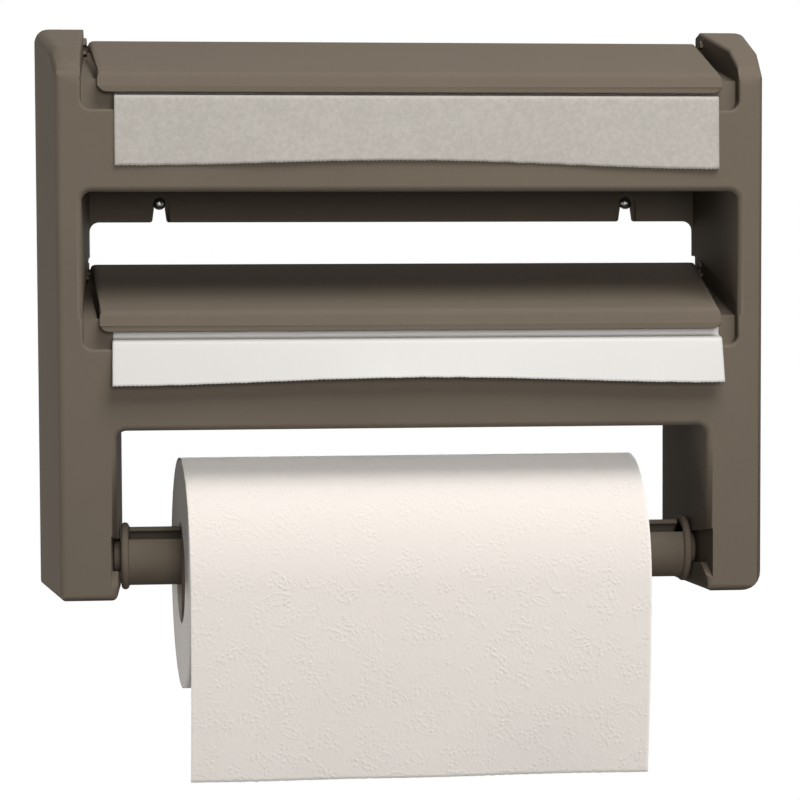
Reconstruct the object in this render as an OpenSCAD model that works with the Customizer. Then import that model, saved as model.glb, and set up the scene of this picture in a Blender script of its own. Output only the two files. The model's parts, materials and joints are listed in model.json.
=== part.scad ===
// Wall dispenser for two rolls of kitchen paper and one roll of towel.
// The wall is the plane y = 0 and the front faces -Y. The origin lies on the wall, midway
// between the two wall screws. Side profiles are drawn as [depth from the wall, height].

/* [Paper rolls] */
// Length of the two rolls in the covered troughs
roll_w = 300; // [280:1:330]
// Outer diameter of the parchment roll
parchment_d = 46; // [34:1:50]
// Outer diameter of the wrap roll
wrap_d = 40; // [34:1:50]
// Outer diameter of a trough roll's cardboard core
core_d = 30; // [26:0.5:32]
// Wall of a trough roll's cardboard core
core_t = 1.6; // [1:0.1:2.4]
// Thickness given to a hanging sheet
sheet_t = 0.5; // [0.4:0.05:0.8]
// Height of the parchment's torn edge below its hinge
parchment_drop = 65; // [56:0.5:72]
// Height of the wrap's torn edge below its hinge
wrap_drop = 54.5; // [48:0.5:64]
// How far the parchment's free edge stands out in front of the frame
parchment_flare = 1; // [0.5:0.5:6]
// How far the wrap's free edge stands out in front of the frame
wrap_flare = 8; // [2:0.5:14]
// Height above the rebate's lower edge at which a sheet comes out in front
sheet_up = 3.8; // [1:0.2:5]
// Height at which a sheet turns forward below the lip
sheet_under_lip = 0.8; // [0.6:0.1:1.5]
// Rise of a torn edge between its ends and its middle
torn_rise = 3; // [1:0.25:5]

/* [Towel roll] */
// Length of the towel roll
towel_w = 233; // [210:1:250]
// Outer diameter of the towel roll
towel_d = 117; // [90:1:120]
// Inner diameter of the towel roll's cardboard core
towel_bore = 49; // [44:0.5:54]
// Wall of the towel roll's cardboard core
towel_core_t = 1.4; // [1:0.1:2.4]
// Thickness given to the hanging towel
towel_t = 0.9; // [0.6:0.1:1.4]
// Length of towel that hangs below the roll's axis
towel_hang = 98.7; // [70:0.1:120]
// How far the hanging towel curls back towards the wall
towel_curl = 10; // [0:1:20]
// Angle above the front at which the last turn of towel leaves the roll
lap_angle = 100; // [60:1:150]

/* [Frame] */
// Room between a roll's end and the end of its lid at the front
end_room = 5.4; // [4:0.1:10]
// How much wider the lid is at its hinge than at its lip, on each side
lid_taper = 7.5; // [3:0.1:9]
// Distance from the lid's front end to the cheek's inner face
lid_to_cheek = 8.3; // [7:0.1:12]
// Width of a cheek's front face beside the middle opening
cheek_face = 12; // [10:0.1:18]
// Outward flare of a cheek from its front face to the wall
flare = 16.7; // [10:0.1:24]
// Extra width of a cheek beside the towel roll
lower_step = 15.8; // [12:0.1:22]
// Depth from the wall to the front faces
frame_d = 110.5; // [104:0.5:120]
// Height of the cheeks' tops above the wall screws
frame_top = 91.5; // [86:0.5:100]
// Fall of a cheek's top from the rear to the front
top_fall = 28; // [20:0.5:32]
// Level stretch of a cheek's top next to the wall
top_level = 12; // [6:0.5:18]
// Depth of the cheeks' lower ends below the wall screws, at the front
frame_drop = 199; // [192:0.5:216]
// Further fall of those lower ends towards the wall
foot_fall = 5; // [0:0.5:8]
// Height between the two hinge axes
unit_pitch = 117.6; // [112:0.2:124]
// Moulded wall thickness
wall = 2.6; // [2.2:0.1:3]
// Radius of the frame's outer front edges
edge_r = 4; // [2:0.25:5]
// Radius of the rear edges of the cheeks
rear_r = 5; // [2:0.25:6]
// Radius of the cheeks' upper rear corners, seen from the front
corner_r = 10; // [4:0.5:14]
// Radius of the cheeks' lower rear corners, seen from the front
foot_corner_r = 4; // [3:0.5:10]
// Rounding of a cheek's outer edges along its top
top_edge_r = 5; // [2:0.25:6]
// Rounding of the left foot's outer edge
left_foot_r = 3; // [2.75:0.25:12]
// Rounding of the right foot's outer edge
right_foot_r = 10; // [2.75:0.25:12]
// Rounding of the foot's inner edge
foot_inner_r = 3.5; // [1:0.25:5]
// Rounding of a cheek's inner edge along its top
inner_edge_r = 2; // [1:0.1:2.4]
// Radius where a cheek's top turns down into its front face
brow_r = 14; // [6:0.5:18]
// Depth of the steeper brow above the front face
brow_run = 25.5; // [16:0.5:32]
// Height of that brow
brow_rise = 12.3; // [8:0.1:15]
// Corner radius of the two openings
bay_r = 5; // [3.5:0.25:8]
// Rounding of the openings' front edges
bay_edge_r = 3; // [1.5:0.25:3.25]
// Thickness of the stiffening ribs inside the cheeks
rib_t = 1.8; // [1.2:0.1:2.6]
// Number of ribs inside the upper part of a cheek
upper_ribs = 4; // [2:1:6]

/* [Troughs] */
// Distance of the hinge axes from the wall
hinge_d = 16; // [14:0.25:20]
// Distance of the upper hinge axis below the cheeks' tops
hinge_drop = 10.7; // [9:0.1:12]
// Room between a closed lid's underside and the front wall's top edge
ledge_room = 2.35; // [1.5:0.05:4]
// Height of the rebate in the front wall below a closed lid's lip
rebate_room = 8.3; // [7:0.1:12]
// Room for the sheet between that rebate and the tear strip
sheet_room = 1.3; // [1.2:0.05:2]
// Rounding of the rebate's outer edge
rebate_edge_r = 1.6; // [0.8:0.1:2]
// Front wall's bottom edge below the hinge axis
apron_drop = 78.1; // [75:0.1:84]
// Trough floor below the hinge axis
floor_drop = 64.5; // [60:0.1:69]
// Radius in the corners of a trough
trough_r = 12; // [6:0.5:18]
// How far the recess beside a lid's ends is cut into each cheek
lid_recess = 2; // [1.5:0.1:2.4]
// Side shelf at the rear of a trough below the hinge axis
shelf_drop = 6; // [5.25:0.25:7.5]
// Top of a trough's back wall below the hinge axis
back_drop = 0.5; // [0.5:0.25:4]
// Thickness of the strip that hangs on the screws
back_t = 4.5; // [4:0.1:5.5]
// That strip's bottom edge below the screws
strip_drop = 10; // [8:0.5:13]

/* [Lids] */
// Slope of a closed lid
lid_slope = 14.4; // [13:0.1:15.2]
// Wall thickness of a lid
lid_t = 2.4; // [1.8:0.1:2.8]
// Radius of the barrel along a lid's hinge edge
barrel_r = 4.2; // [3.4:0.1:4.6]
// Height of a lid's front lip
lip_h = 10.6; // [9:0.2:13]
// How far the front lip's lower edge stands out in front of its top
lip_out = 2.6; // [1.5:0.1:3.5]
// Height of the bead along the lip's lower edge
bead_h = 3.2; // [2:0.1:4]
// How far that bead stands out
bead_out = 1; // [0.5:0.1:1.4]
// Set-back of the bead behind the frame's front faces
lip_back = 0.8; // [0.4:0.1:1.4]
// Radius of the lip's lower corners
lip_r = 5; // [2:0.25:6]
// Rounding between a lid's top and its front lip
crease_r = 5; // [2:0.25:8]
// Rounding of a lid's end edges
lid_end_r = 3.4; // [1:0.1:3.6]
// Thickness of the skirt under a lid's ends
skirt_t = 3.2; // [2.4:0.1:4]
// Depth of the skirt under a lid's ends
skirt_h = 5; // [3:0.25:6]
// Radius of a hinge pin
pin_r = 1.85; // [1.4:0.05:2.2]
// Length of a hinge pin
pin_l = 5; // [4:0.1:6]
// Radial clearance of a hinge pin in its seat
pin_gap = 0.06; // [0.03:0.01:0.1]
// Height of the snap mouth of a pin seat as a share of the pin
snap_share = 0.86; // [0.8:0.01:0.95]
// Material round a pin in its seat
lug_t = 3.6; // [2.6:0.1:3.8]
// How far a seat stands out of the cheek
lug_out = 2; // [1.5:0.1:2.2]
// Rounding of a seat's lower edges
lug_r = 1; // [0.5:0.1:1.2]

/* [Tear strips] */
// Thickness of a tear strip
strip_t = 0.8; // [0.6:0.1:1]
// Height of a tear strip
strip_h = 5; // [4:0.25:6]
// Tooth pitch of a tear strip
tooth_pitch = 3; // [2:0.25:5]
// Tooth depth of a tear strip
tooth_h = 1.4; // [0.8:0.1:2]

/* [Towel rod] */
// Distance of the rod's axis from the wall
rod_d = 64; // [60:0.5:72]
// Height of the rod's axis above the cheeks' lower ends
rod_up = 17; // [14:0.5:24]
// Outer radius of the rod
rod_r = 15; // [12:0.25:17]
// Wall thickness of the rod
rod_t = 2.4; // [1.8:0.1:3.2]
// Front rim of the rod's open side, as an angle above the front
rim_front = 41; // [20:1:60]
// Rear rim of the rod's open side, as an angle above the front
rim_rear = 102; // [92:1:125]
// Radius of the flange at each end of the rod
flange_r = 17.2; // [16:0.1:19]
// Thickness of that flange
flange_t = 4; // [2:0.25:6]
// Gap between a flange and its cheek
flange_gap = 0.8; // [0.4:0.1:0.9]
// Radius of the stub ends
stub_r = 8; // [6:0.25:10]
// How far a stub reaches into its cheek
stub_in = 2.8; // [2:0.1:3.5]
// Upward slant of the slots that hold the stubs
slot_slant = 8; // [4:0.5:12]
// Height that the slot's mouth gains on its lower side
mouth_drop = 8.5; // [4:0.5:10]
// Depth of the slot's widened mouth
mouth_d = 14; // [8:0.5:20]

/* [Wall screws] */
// Distance between the two wall screws
screw_pitch = 253; // [230:1:270]
// Radius of a screw's shank in the wall
screw_r = 2; // [1.75:0.05:2.1]
// Radius of a screw's plain neck in the keyhole
neck_r = 2.2; // [2.15:0.05:2.4]
// Radius of a screw's head
head_r = 3.4; // [3:0.1:4.2]
// Height of a screw's head
head_h = 2.1; // [1.5:0.1:2.4]
// Length of shank behind the frame
screw_l = 30; // [20:1:50]
// Width of the keyhole's mouth
mouth_w = 7.7; // [6:0.1:9.5]
// Rounding of that mouth's corners
mouth_r = 1.5; // [0.5:0.1:2]
// Radius of the pocket round a screw's head
pocket_r = 5.4; // [5:0.1:6]
// Back wall left behind that pocket
pocket_floor = 2.4; // [1.8:0.1:2.8]

/* [Hidden] */
$fn = 72;

taupe = [0.41, 0.37, 0.33];
steel = [0.72, 0.72, 0.70];
card = [0.76, 0.68, 0.56];
parchment_white = [0.84, 0.81, 0.78];
wrap_white = [0.93, 0.92, 0.90];
towel_white = [0.90, 0.88, 0.86];

// Clearances of pieces that lie on others, of wound layers, and of a lid's ends
seat_gap = 0.3;
wound_gap = 0.1;
lid_gap = 0.8;

// Overrun of a cut, a length beyond the whole object, and the angle between points of an arc
past = 1;
far = 500;
arc_step = 15;

// Widths, all measured from the middle plane
lid_front = roll_w / 2 + end_room;
lid_rear = lid_front + lid_taper;
bay_half = lid_front + lid_to_cheek;
lid_bay_half = bay_half + lid_recess;
front_half = bay_half + cheek_face;
rear_half = front_half + flare;
lower_half = bay_half - lower_step;

// Heights
top_hinge = frame_top - hinge_drop;
middle_hinge = top_hinge - unit_pitch;
top_apron = top_hinge - apron_drop;
middle_apron = middle_hinge - apron_drop;
front_top = frame_top - top_fall;

// A lid's section, with heights measured from its hinge axis
bead_d = frame_d - lip_back;
lip_d = bead_d - bead_out;
crease_d = lip_d - lip_out;
lid_tan = tan(lid_slope);
lid_rise = barrel_r / cos(lid_slope);
lid_under = lid_rise - lid_t / cos(lid_slope);
crease_z = lid_rise - (crease_d - hinge_d) * lid_tan;
lip_z = crease_z - lip_h;

// The tear strip on the lip's inner face, the rebate behind it and the trough's front wall
strip_lean = lip_out / (lip_h - lid_t);
strip_d = lip_d - lid_t - wound_gap;
rebate_d = strip_d - strip_h * strip_lean - strip_t - sheet_room;
rebate_depth = frame_d - rebate_d;
trough_front = rebate_d - wall;

// The front wall's top edge and the rebate's lower edge, below the hinge axis
ledge_drop = (rebate_d - hinge_d) * lid_tan - lid_under + ledge_room;
rebate_drop = rebate_room - lip_z;

// The rod, its slots and the towel roll
rod_z = rod_up - frame_drop;
slot_r = stub_r + seat_gap;
slot_depth = stub_in + seat_gap;
towel_axis = [rod_d, rod_z] + hung_on_rims(towel_bore / 2 - seat_gap);
towel_r = towel_d / 2;
tail_r = towel_r + seat_gap;

// Axis of a ring of radius r that hangs on both rims of the rod, seen from the rod's axis
function rim(a) = rod_r * [cos(a), sin(a)];
function hung_on_rims(r) =
    let (a = rim(rim_front), b = rim(rim_rear), half = norm(a - b) / 2)
    (a + b) / 2 - left_of(unit(a - b)) * sqrt(r * r - half * half);

// Where the trough rolls lie, and the bends of their sheets at the rebate and its edge
rebate_bend = 3;
edge_bend = 6;
roll_d = (wall + trough_front) / 2;
function roll_z(hinge, dia) = hinge - floor_drop + dia / 2 + seat_gap;

// Half-width of a lid at a depth, and of its trough
function lid_half(d) = lid_rear - lid_taper * (d - hinge_d) / (lip_d - hinge_d);
function trough_half(d) = lid_half(d) + lid_gap;

// Half width over the cheeks' outer sides and between their inner sides, at a depth
function cheek_half(d) = rear_half - flare * d / frame_d;
function side_half(d) = lid_bay_half - lid_recess * d / frame_d;

// Height of the cheeks' lower ends at a depth, and the direction in which they face
function foot_z(d) = foot_fall * (d / frame_d - 1) - frame_drop;
foot_normal = [0, -foot_fall, -frame_d];

// Outlines: each corner is [x, y, radius]
function unit(v) = v / norm(v);
function flat(p) = [p[0], p[1]];
function turn(a) = a > 180 ? a - 360 : a < -180 ? a + 360 : a;
function angle_of(v) = atan2(v[1], v[0]);
function fillet(a, b, c, r) =
    let (u = unit(a - b), v = unit(c - b), half = acos(u * v) / 2)
    let (centre = b + unit(u + v) * r / sin(half), run = r / tan(half))
    let (start = angle_of(b + u * run - centre), sweep = turn(angle_of(b + v * run - centre) - start))
    let (steps = ceil(abs(sweep) / arc_step))
    [for (i = [0:steps]) let (t = start + sweep * i / steps) centre + r * [cos(t), sin(t)]];
function corner(a, b, c) = len(b) < 3 || b[2] == 0 ? [flat(b)] : fillet(flat(a), flat(b), flat(c), b[2]);
function rounded(p) =
    let (n = len(p))
    [for (i = [0:n - 1]) each corner(p[(i + n - 1) % n], p[i], p[(i + 1) % n])];
function bent(p) =
    let (n = len(p))
    concat([flat(p[0])], [for (i = [1:n - 2]) each corner(p[i - 1], p[i], p[i + 1])], [flat(p[n - 1])]);

// A bent line thickened to its left side
function left_of(v) = [-v[1], v[0]];
function side_at(p, i) =
    let (n = len(p), a = p[max(i - 1, 0)], b = p[min(i + 1, n - 1)])
    left_of(unit(b - a));
function thick(p, t) =
    let (n = len(p))
    concat(p, [for (i = [n - 1:-1:0]) p[i] + t * side_at(p, i)]);

module outline(p) polygon(rounded(p));

// Extrusions along the three directions: [x, height] outlines from the front,
// [depth, height] outlines across the width, and [x, y] outlines upright
module from_front(d0, d1) translate([0, -d0, 0]) rotate([90, 0, 0]) linear_extrude(d1 - d0) children();
module across(x0, x1) translate([x1, 0, 0]) rotate([90, 0, -90]) linear_extrude(x1 - x0) children();
module upright(z0, z1) translate([0, 0, z0]) linear_extrude(z1 - z0) children();
module both_sides() {
    children();
    mirror([1, 0, 0]) children();
}

// Cutter that rounds the straight edge from a to b of a face with normal n
module edge_profile(r) {
    polygon(concat([[-past, past], [-past, -r]],
        [for (a = [180:-arc_step:90]) r * [1 + cos(a), sin(a) - 1]], [[r, past]]));
}
module edge_cut(a, b, n, r) {
    z = unit(b - a);
    y = unit(n - (n * z) * z);
    x = cross(y, z);
    multmatrix([[x[0], y[0], z[0], a[0]], [x[1], y[1], z[1], a[1]], [x[2], y[2], z[2], a[2]], [0, 0, 0, 1]])
        linear_extrude(norm(b - a)) edge_profile(r);
}

// Frame

// Outer form: flared in plan, sloping at the top, with rounded corners from the front
module frame_envelope() {
    brow_d = frame_d - brow_run;
    brow_z = front_top + brow_rise;
    top_normal = [0, brow_z - frame_top, brow_d - top_level];
    brow_normal = [0, -brow_rise, brow_run];
    difference() {
        intersection() {
            upright(foot_z(-past), frame_top + past) outline([
                [-rear_half, 0, rear_r], [-front_half, -frame_d, edge_r],
                [front_half, -frame_d, edge_r], [rear_half, 0, rear_r]]);
            across(-rear_half - past, rear_half + past) outline([
                [0, foot_z(0)], [frame_d, -frame_drop, edge_r], [frame_d, front_top, brow_r],
                [brow_d, brow_z, brow_r], [top_level, frame_top, rear_r], [0, frame_top]]);
            from_front(-past, frame_d + past) outline([
                [-rear_half, foot_z(0), foot_corner_r], [rear_half, foot_z(0), foot_corner_r],
                [rear_half, frame_top, corner_r], [-rear_half, frame_top, corner_r]]);
        }
        both_sides() {
            edge_cut([front_half, -frame_d, front_top], [cheek_half(brow_d), -brow_d, brow_z],
                brow_normal, top_edge_r);
            edge_cut([cheek_half(brow_d), -brow_d, brow_z], [cheek_half(top_level), -top_level, frame_top],
                top_normal, top_edge_r);
            edge_cut([lower_half, -frame_d - past, foot_z(frame_d + past)], [lower_half, past, foot_z(-past)],
                foot_normal, foot_inner_r);
            edge_cut([side_half(top_level), -top_level, frame_top], [side_half(brow_d), -brow_d, brow_z],
                top_normal, inner_edge_r);
            edge_cut([side_half(brow_d), -brow_d, brow_z], [side_half(frame_d), -frame_d, front_top],
                brow_normal, inner_edge_r);
        }
        foot_cut(0, right_foot_r);
        mirror([1, 0, 0]) foot_cut(0, left_foot_r);
    }
}

// Cutter that rounds a foot's outer edge, at the outside or inset for the hollow behind it
module foot_cut(inset, r) {
    end = frame_d + r;
    edge_cut([cheek_half(-r) - inset, r, foot_z(-r) + inset],
        [cheek_half(end) - inset, -end, foot_z(end) + inset], foot_normal, r - inset);
}

// Space above a trough's front ledge, side shelves and back wall
module above_shelf(hinge) {
    ledge = hinge - ledge_drop;
    shelf = hinge - shelf_drop;
    back = hinge - back_drop;
    polygon([[-past, back], [wall, back], [wall, shelf], [hinge_d + lug_t, shelf], [trough_front, ledge],
        [frame_d + past, ledge], [frame_d + past, far], [-past, far]]);
}

// Inside of a trough, tapered in plan like its lid, with its front wall stepped round the rebate
module trough_space(hinge) {
    floor_z = hinge - floor_drop;
    step_z = hinge - rebate_drop - rebate_depth / 2 - wall;
    intersection() {
        upright(floor_z - past, hinge) polygon([
            [-trough_half(0), 0], [-trough_half(frame_d), -frame_d],
            [trough_half(frame_d), -frame_d], [trough_half(0), 0]]);
        across(-rear_half, rear_half) outline([
            [wall, hinge + far], [wall, floor_z, trough_r], [frame_d - wall, floor_z, trough_r],
            [frame_d - wall, step_z], [trough_front, step_z + rebate_depth / 2],
            [trough_front, hinge + far]]);
    }
}

// Hollow under a trough's floor, between its back wall and its apron
module under_floor(hinge, half, back) {
    top = hinge - floor_drop - wall;
    low = hinge - apron_drop - strip_drop;
    across(-half, half) outline([
        [back, low], [back, top, trough_r - wall],
        [frame_d - wall, top, trough_r - wall], [frame_d - wall, low]]);
}

// U-shaped outline of an opening, with round corners at its low end
module opening(half, low, high, r) {
    translate([-half, low + r]) square([2 * half, high - low - r]);
    translate([r - half, low]) square([2 * (half - r), 2 * r]);
    for (x = [r - half, half - r])
        translate([x, low + r]) circle(r);
}

// Rebate in the front wall that the lid's lip closes into
module rebate(hinge, top) {
    low = hinge - rebate_drop;
    from_front(rebate_d, frame_d + past) opening(bay_half, low, top, bay_r);
    round_edge(bay_half, low, top, bay_r, rebate_edge_r);
}

// Cutter that rounds the front edge of such an opening
module round_edge(half, low, high, corner_radius, r) {
    foot = half - corner_radius;
    rotate([90, 0, 0]) both_sides() {
        translate([half, high, frame_d]) rotate([90, 0, 0])
            linear_extrude(high - low - corner_radius) edge_profile(r);
        translate([foot, low + corner_radius, frame_d]) rotate([0, 0, -90])
            rotate_extrude(angle = 90) translate([corner_radius, 0]) edge_profile(r);
        translate([-past, low, frame_d]) rotate([90, 0, 90])
            linear_extrude(foot + past) mirror([1, 0]) edge_profile(r);
    }
}

// Opening between the two troughs
module middle_bay() {
    shelf = middle_hinge - ledge_drop;
    intersection() {
        union() {
            from_front(back_t, frame_d + past) mirror([0, 1]) opening(bay_half, -top_apron, -shelf, bay_r);
            from_front(-past, back_t + past) mirror([0, 1]) opening(bay_half, strip_drop, -shelf, bay_r);
        }
        across(-rear_half, rear_half) above_shelf(middle_hinge);
    }
    mirror([0, 0, 1]) round_edge(bay_half, -top_apron, -shelf, bay_r, bay_edge_r);
}

// Opening round the towel roll
module lower_bay() {
    from_front(-past, frame_d + past) mirror([0, 1]) opening(lower_half, -middle_apron, far, bay_r);
    mirror([0, 0, 1]) round_edge(lower_half, -middle_apron, frame_drop + past, bay_r, bay_edge_r);
}

// Space for a lid between the cheeks, which come closer together towards the front
module lid_bay(hinge) {
    intersection() {
        across(-lid_bay_half, lid_bay_half) above_shelf(hinge);
        upright(-far, far) polygon([
            [-side_half(-past), past], [-side_half(frame_d + past), -frame_d - past],
            [side_half(frame_d + past), -frame_d - past], [side_half(-past), past]]);
    }
}

// Recess beside the middle lid, closed towards the front faces
module middle_lid_bay() {
    roof = middle_hinge + barrel_r + lug_t;
    intersection() {
        lid_bay(middle_hinge);
        across(-rear_half, rear_half) polygon([
            [-past, -far], [rebate_d, -far], [rebate_d, roof - (rebate_d - hinge_d) * lid_tan],
            [hinge_d, roof], [-past, roof]]);
    }
}

// Hollow inside one cheek, open to the wall, with ribs left standing
module cheek_hollow(foot_r) {
    outer_front = front_half - wall;
    outer_rear = rear_half - wall;
    deep = frame_d - wall;
    upper_in = lid_bay_half + wall;
    lower_in = lower_half + wall;
    split = middle_apron;
    pad_x = lower_half + slot_depth + wall;
    pad_half = slot_r + mouth_drop;
    rib_gap = (frame_top - split) / (upper_ribs + 1);
    difference() {
        intersection() {
            union() {
                upright(split - past, far) polygon([
                    [upper_in, past], [upper_in, -deep], [outer_front, -deep], [outer_rear, past]]);
                upright(foot_z(-past), split - wall) polygon([
                    [lower_in, past], [lower_in, -deep], [outer_front, -deep], [outer_rear, past]]);
                upright(split - wall - past, split) polygon([
                    [upper_in, past], [upper_in, -deep], [outer_front, -deep], [outer_rear, past]]);
            }
            across(0, far) outline([
                [-past, foot_z(-past) + wall], [deep, foot_z(deep) + wall],
                [deep, front_top - wall, brow_r - wall], [top_level, frame_top - wall],
                [-past, frame_top - wall]]);
        }
        for (i = [1:upper_ribs])
            upright(split + i * rib_gap - rib_t / 2, split + i * rib_gap + rib_t / 2)
                translate([0, -frame_d]) square([far, frame_d - back_t]);
        across(0, pad_x) translate([0, rod_z - pad_half]) square([far, 2 * pad_half]);
        foot_cut(wall, foot_r);
    }
}

// Slot in a cheek's inner face that holds one end of the towel rod
module rod_slot() {
    rise = tan(slot_slant);
    run = frame_d + past - rod_d;
    half = slot_r / cos(slot_slant);
    mouth = frame_d - mouth_d - rod_d;
    back = [for (a = [90:arc_step:270]) slot_r * [cos(a + slot_slant), sin(a + slot_slant)]];
    across(lower_half - past, lower_half + slot_depth) translate([rod_d, rod_z]) polygon(concat(back, [
        [mouth, mouth * rise - half], [run, run * rise - half - mouth_drop], [run, run * rise + half]]));
}

// Slot in the back wall that drops over a wall screw, with a pocket for its head
module keyhole() {
    slot_half = neck_r + seat_gap;
    mouth_out = mouth_w / 2 + 2 * mouth_r;
    from_front(-past, back_t + past) {
        circle(slot_half);
        outline([
            [-slot_half, 0], [slot_half, 0], [mouth_w / 2, -strip_drop, mouth_r], [mouth_out, -strip_drop],
            [mouth_out, -strip_drop - past], [-mouth_out, -strip_drop - past],
            [-mouth_out, -strip_drop], [-mouth_w / 2, -strip_drop, mouth_r]]);
    }
    from_front(pocket_floor, back_t + past) {
        circle(pocket_r);
        translate([-pocket_r, -strip_drop - past]) square([2 * pocket_r, strip_drop + past]);
    }
}

// Open seat for a hinge pin on a cheek's inner face, which the pin snaps into from the front
module pin_seat(hinge) {
    r = pin_r + pin_gap;
    reach = pin_r + lug_t;
    foot = pin_r + lug_t / 2;
    difference() {
        across(lid_bay_half - lug_out, lid_bay_half + wall / 2) translate([hinge_d, hinge]) outline([
            [-reach, -foot, lug_r], [reach, -foot, lug_r],
            [reach, reach, lug_t / 2], [-reach, reach, lug_t / 2]]);
        translate([lid_bay_half - lug_out - past, -hinge_d, hinge]) rotate([0, 90, 0])
            cylinder(r = r, h = far);
        across(lid_bay_half - lug_out - past, lid_bay_half)
            translate([hinge_d, hinge - pin_r * snap_share]) square([far, 2 * pin_r * snap_share]);
    }
}

module pin_bore(hinge) {
    translate([lid_bay_half - past, -hinge_d, hinge]) rotate([0, 90, 0])
        cylinder(r = pin_r + pin_gap, h = wall + 2 * past);
}

module main_frame() {
    color(taupe) {
        difference() {
            frame_envelope();
            lid_bay(top_hinge);
            rebate(top_hinge, frame_top + past);
            rebate(middle_hinge, middle_hinge - ledge_drop + bay_r);
            trough_space(top_hinge);
            trough_space(middle_hinge);
            under_floor(top_hinge, bay_half, back_t);
            under_floor(middle_hinge, lower_half, wall);
            middle_bay();
            middle_lid_bay();
            lower_bay();
            cheek_hollow(right_foot_r);
            mirror([1, 0, 0]) cheek_hollow(left_foot_r);
            both_sides() {
                rod_slot();
                translate([screw_pitch / 2, 0, 0]) keyhole();
                pin_bore(top_hinge);
                pin_bore(middle_hinge);
            }
        }
        both_sides() {
            pin_seat(top_hinge);
            pin_seat(middle_hinge);
        }
    }
}

// Lids

module lid_section() {
    polygon(rounded([
        [hinge_d, lid_under], [crease_d - lid_t, crease_z - lid_t], [lip_d - lid_t, lip_z],
        [bead_d, lip_z], [bead_d, lip_z + bead_h], [lip_d - bead_h * lip_out / lip_h, lip_z + bead_h],
        [crease_d, crease_z, crease_r], [hinge_d, lid_rise]]));
}

// End skirt, which stops behind the trough's front wall
module lid_skirt() {
    end_d = trough_front - 2 * lid_gap;
    end_z = lid_under - (end_d - hinge_d) * lid_tan;
    polygon([[hinge_d, lid_under + past], [hinge_d, -barrel_r],
        [hinge_d + skirt_h, lid_under - skirt_h - skirt_h * lid_tan],
        [end_d, end_z - skirt_h], [end_d, end_z + past]]);
}

module lid_plan(inset) {
    upright(-far, far) polygon([
        [-lid_half(0) + inset, 0], [-lid_half(frame_d) + inset, -frame_d],
        [lid_half(frame_d) - inset, -frame_d], [lid_half(0) - inset, 0]]);
}

// Panel, front lip with its bead, end skirts and hinge barrel
module lid_shell(shoulder) {
    intersection() {
        union() {
            across(-far, far) lid_section();
            difference() {
                across(-far, far) lid_skirt();
                lid_plan(skirt_t);
            }
            translate([0, -hinge_d, 0]) rotate([0, 90, 0])
                cylinder(r = barrel_r, h = 2 * far, center = true);
        }
        lid_plan(0);
        from_front(-past, frame_d + past) outline([
            [-lid_half(lip_d), lip_z, lip_r], [lid_half(lip_d), lip_z, lip_r],
            [lid_half(lip_d) + lid_gap, shoulder], [lid_half(0) + past, barrel_r + past],
            [-lid_half(0) - past, barrel_r + past], [-lid_half(lip_d) - lid_gap, shoulder]]);
    }
}

module lid(hinge) {
    shoulder = crease_z + lid_t;
    color(taupe) translate([0, 0, hinge]) {
        difference() {
            lid_shell(shoulder);
            both_sides()
                edge_cut([lid_half(frame_d), -frame_d, lid_rise - (frame_d - hinge_d) * lid_tan],
                    [lid_half(0), 0, lid_rise + hinge_d * lid_tan], [0, -lid_tan, 1], lid_end_r);
        }
        both_sides() translate([lid_rear - past, -hinge_d, 0]) rotate([0, 90, 0])
            cylinder(r = pin_r, h = pin_l + past);
    }
}

module top_lid() lid(top_hinge);
module middle_lid() lid(middle_hinge);

// Toothed strip on the inner face of a lid's lip
module tear_strip(hinge) {
    half = roll_w / 2;
    teeth = floor(roll_w / tooth_pitch);
    top = strip_d - strip_h * strip_lean;
    color(steel) translate([0, 0, hinge]) intersection() {
        across(-half, half) polygon([
            [strip_d, lip_z], [top, lip_z + strip_h],
            [top - strip_t, lip_z + strip_h], [strip_d - strip_t, lip_z]]);
        from_front(0, frame_d) polygon(concat(
            [[half, lip_z + strip_h + past], [-half, lip_z + strip_h + past]],
            [for (i = [0:teeth - 1]) each [
                [-half + i * roll_w / teeth, lip_z + tooth_h], [-half + (i + 0.5) * roll_w / teeth, lip_z]]],
            [[half, lip_z + tooth_h]]));
    }
}

module top_tear_strip() tear_strip(top_hinge);
module middle_tear_strip() tear_strip(middle_hinge);

// Trough rolls and their sheets

module tube(outer, inner, width) {
    rotate([0, 90, 0]) difference() {
        cylinder(r = outer, h = width, center = true);
        cylinder(r = inner, h = width + past, center = true);
    }
}

module trough_core(hinge, dia) {
    color(card) translate([0, -roll_d, roll_z(hinge, dia)]) tube(core_d / 2, core_d / 2 - core_t, roll_w);
}

module trough_roll(hinge, dia, tint) {
    color(tint) translate([0, -roll_d, roll_z(hinge, dia)]) tube(dia / 2, core_d / 2 + wound_gap, roll_w);
}

// Route of a sheet: off the roll, over the front ledge, down the rebate and out under the lip
function sheet_route(hinge, dia, drop, flare_out) =
    let (ledge = hinge - ledge_drop + seat_gap, out = hinge - rebate_drop + sheet_up)
    let (centre = [roll_d, roll_z(hinge, dia)], over = [rebate_d + seat_gap, ledge])
    let (r = dia / 2 + seat_gap, aim = over - centre)
    let (leave = angle_of(aim) + acos(r / norm(aim)))
    bent([centre + r * [cos(leave), sin(leave)], concat(over, seat_gap),
        [rebate_d + seat_gap, hinge + lip_z - sheet_under_lip, rebate_bend],
        [frame_d + seat_gap, out, edge_bend], [frame_d + seat_gap + flare_out, hinge - drop]]);

module trough_tail(hinge, dia, drop, flare_out, tint) {
    half = roll_w / 2;
    steps = 24;
    color(tint) intersection() {
        across(-half, half) polygon(thick(sheet_route(hinge, dia, drop + torn_rise, flare_out), sheet_t));
        from_front(0, far) polygon(concat([[half, far], [-half, far]],
            [for (i = [0:steps]) let (t = 2 * i / steps - 1)
                [half * t, hinge - drop + torn_rise / 2 * cos(180 * t)]]));
    }
}

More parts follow.
